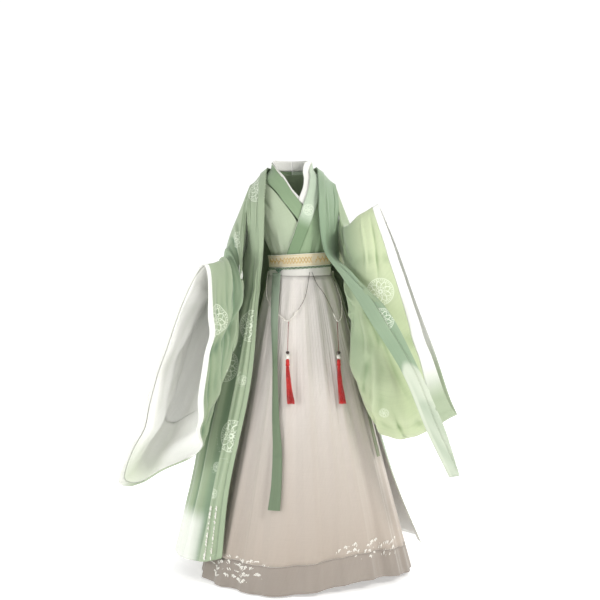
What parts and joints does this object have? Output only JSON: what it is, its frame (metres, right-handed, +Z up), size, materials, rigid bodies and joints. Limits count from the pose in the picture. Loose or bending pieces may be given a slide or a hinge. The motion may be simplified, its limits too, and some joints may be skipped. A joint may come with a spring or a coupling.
{
  "type": "hanfu robe set",
  "caption": "Worn hanfu set: open wide-sleeve robe, cross-collar top, inner collar, gathered skirt, sash, ribbon belt, bead swags and tassels, in its hollow worn form.",
  "frame": {"origin": "base of the neck, where the wearer carries the set", "axes": "+Z up, the front faces -Y, +X is the wearer's left"},
  "size_m": [1.1513, 0.8435, 1.4347],
  "materials": {
    "robe_cloth": "light sheer chiffon, sage green",
    "top_cloth": "light plain-weave, sage green",
    "collar_cloth": "plain-weave band, deeper green",
    "white_cloth": "fine white lawn",
    "skirt_cloth": "cream cloth under a sheer layer",
    "sash_brocade": "satin brocade with gold thread",
    "belt_ribbon": "woven satin ribbon",
    "bead_white": "polished",
    "bead_dark": "polished",
    "tassel_silk": "silky thread"
  },
  "bodies": {
    "root": {"bead_swag_left": "bead_white", "bead_swag_right": "bead_white", "belt_knot": "belt_ribbon", "belt_ribbon": "belt_ribbon", "belt_tail_front": "belt_ribbon", "belt_tail_side": "belt_ribbon", "cuff_border_left": "white_cloth", "cuff_border_right": "white_cloth", "inner_collar_left": "white_cloth", "inner_collar_right": "white_cloth", "robe_body_left": "robe_cloth", "robe_body_right": "robe_cloth", "robe_front_band_left": "robe_cloth", "robe_front_band_right": "robe_cloth", "skirt": "skirt_cloth", "skirt_hem_band": "skirt_cloth", "skirt_waistband": "skirt_cloth", "sleeve_left": "robe_cloth", "sleeve_lining_left": "white_cloth", "sleeve_lining_right": "white_cloth", "sleeve_right": "robe_cloth", "tassel_bead_left": "bead_dark", "tassel_bead_right": "bead_dark", "tassel_cord_left": "tassel_silk", "tassel_cord_right": "tassel_silk", "tassel_jade_left": "bead_white", "tassel_jade_right": "bead_white", "tassel_left": "tassel_silk", "tassel_right": "tassel_silk", "top_back": "top_cloth", "top_collar_left": "collar_cloth", "top_collar_right": "collar_cloth", "top_front_left": "top_cloth", "top_front_right": "top_cloth", "waist_sash": "sash_brocade"}
  },
  "joints": []
}
